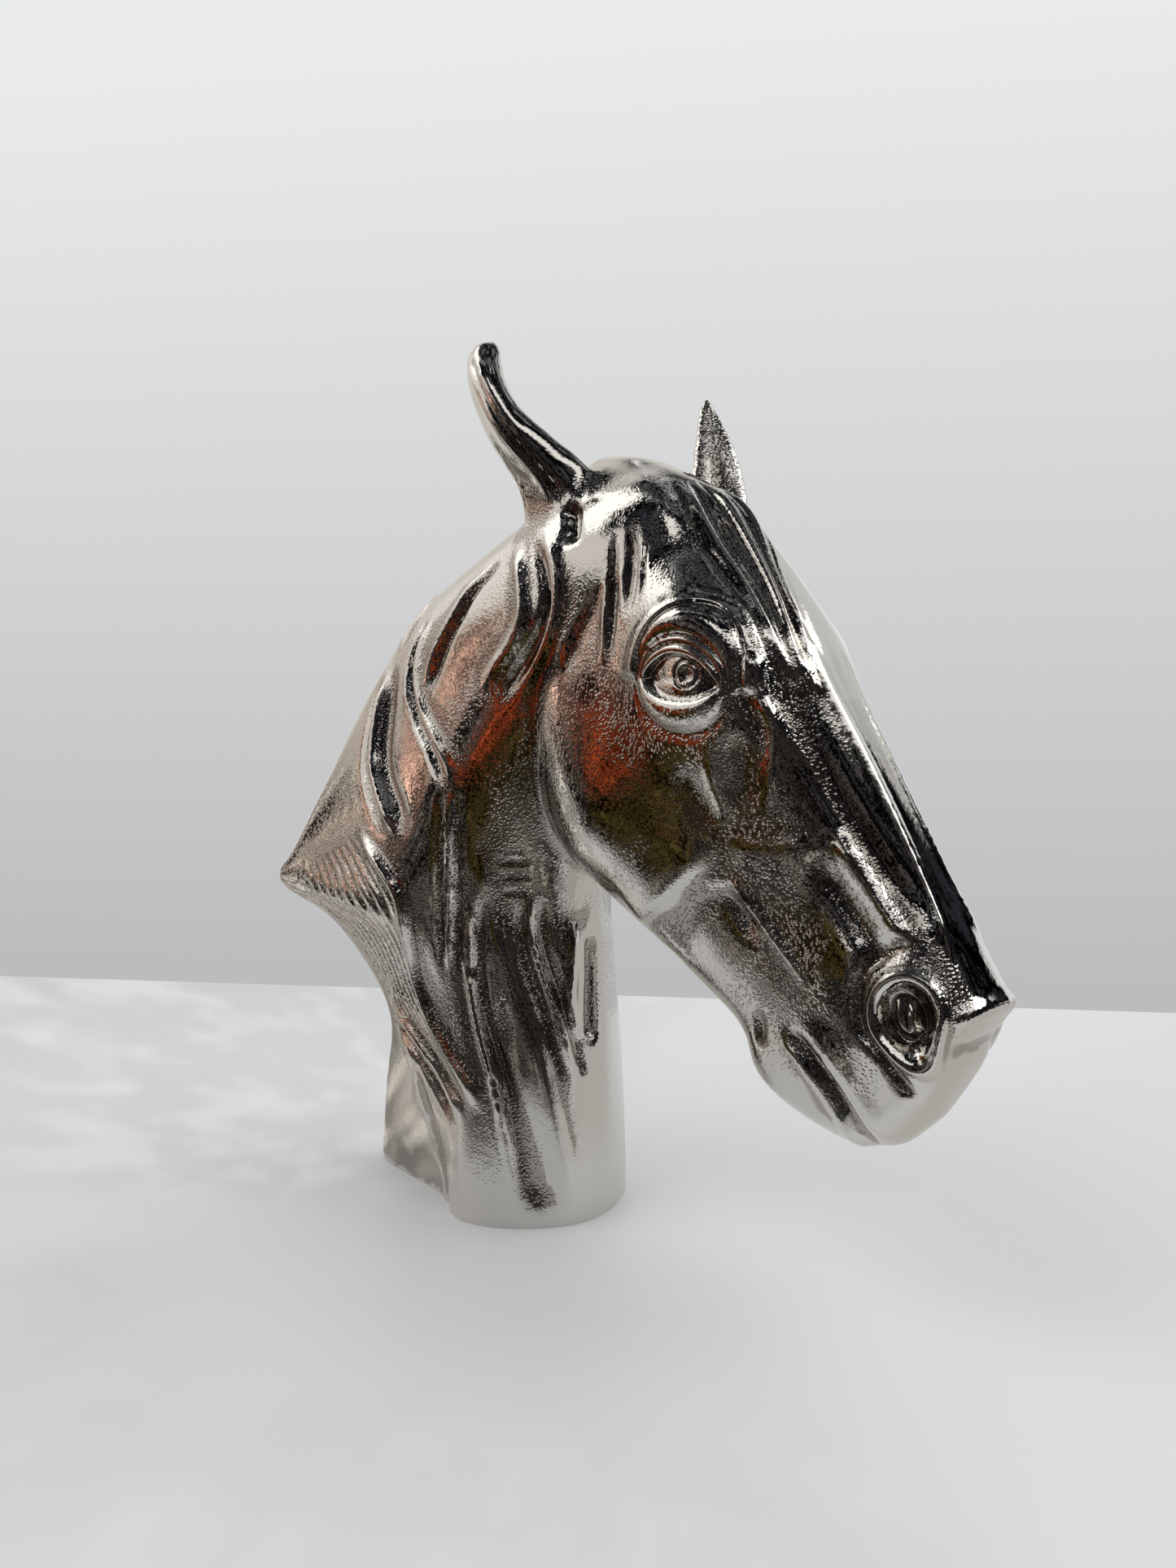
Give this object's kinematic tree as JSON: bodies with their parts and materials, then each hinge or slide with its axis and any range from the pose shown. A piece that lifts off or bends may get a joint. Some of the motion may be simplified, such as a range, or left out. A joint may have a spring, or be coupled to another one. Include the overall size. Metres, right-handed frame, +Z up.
{
  "type": "horse head sculpture",
  "caption": "Polished metal horse head with turned neck, carved mane and flat-cut stand, cast in one piece as a free-standing table sculpture.",
  "frame": {"origin": "middle of the stand's flat underside", "axes": "+Z up, +X the way the neck faces, +Y to the far side of the head, which turns 24 degrees towards -Y"},
  "size_m": [0.3072, 0.1464, 0.3272],
  "materials": {
    "nickel_skin": "bright nickel-plated cast aluminium, mirror polished on the nose, brows and ears, fine cast grain on cheeks, neck and mane"
  },
  "bodies": {
    "root": {"horse_head_casting": "nickel_skin"}
  },
  "joints": []
}
